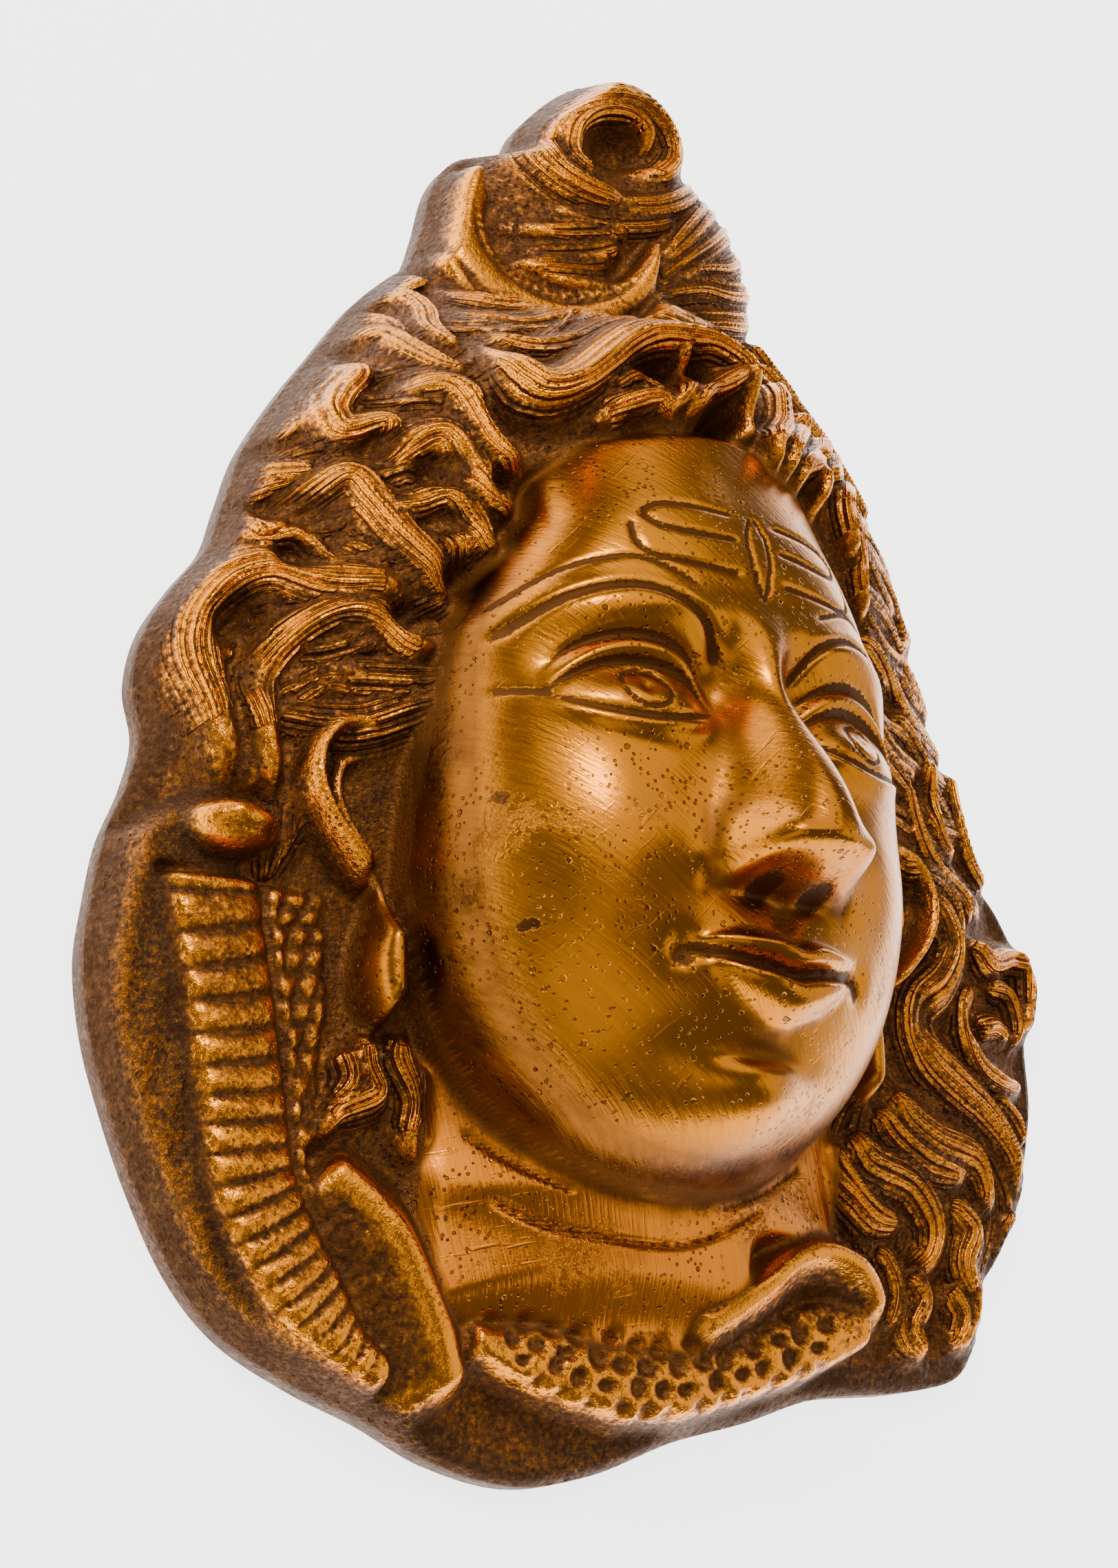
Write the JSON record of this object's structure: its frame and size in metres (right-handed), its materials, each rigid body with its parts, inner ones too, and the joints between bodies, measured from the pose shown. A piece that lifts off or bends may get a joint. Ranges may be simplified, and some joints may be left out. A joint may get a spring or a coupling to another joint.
{
  "type": "shiva mask",
  "caption": "Cast brass relief mask of a long-haired deity with topknot, crescent and cobra, open at the back, for a wall or shelf.",
  "frame": {"origin": "centre of the bounding box in plan, on the flat ring round the back", "axes": "+Z out of the face, +Y to the top of the head, +X to the viewer's right"},
  "size_m": [0.2276, 0.3104, 0.0835],
  "materials": {
    "aged brass": "polished face, brown cast hair with rubbed ridges"
  },
  "bodies": {
    "root": {"mask": "aged brass"}
  },
  "joints": []
}
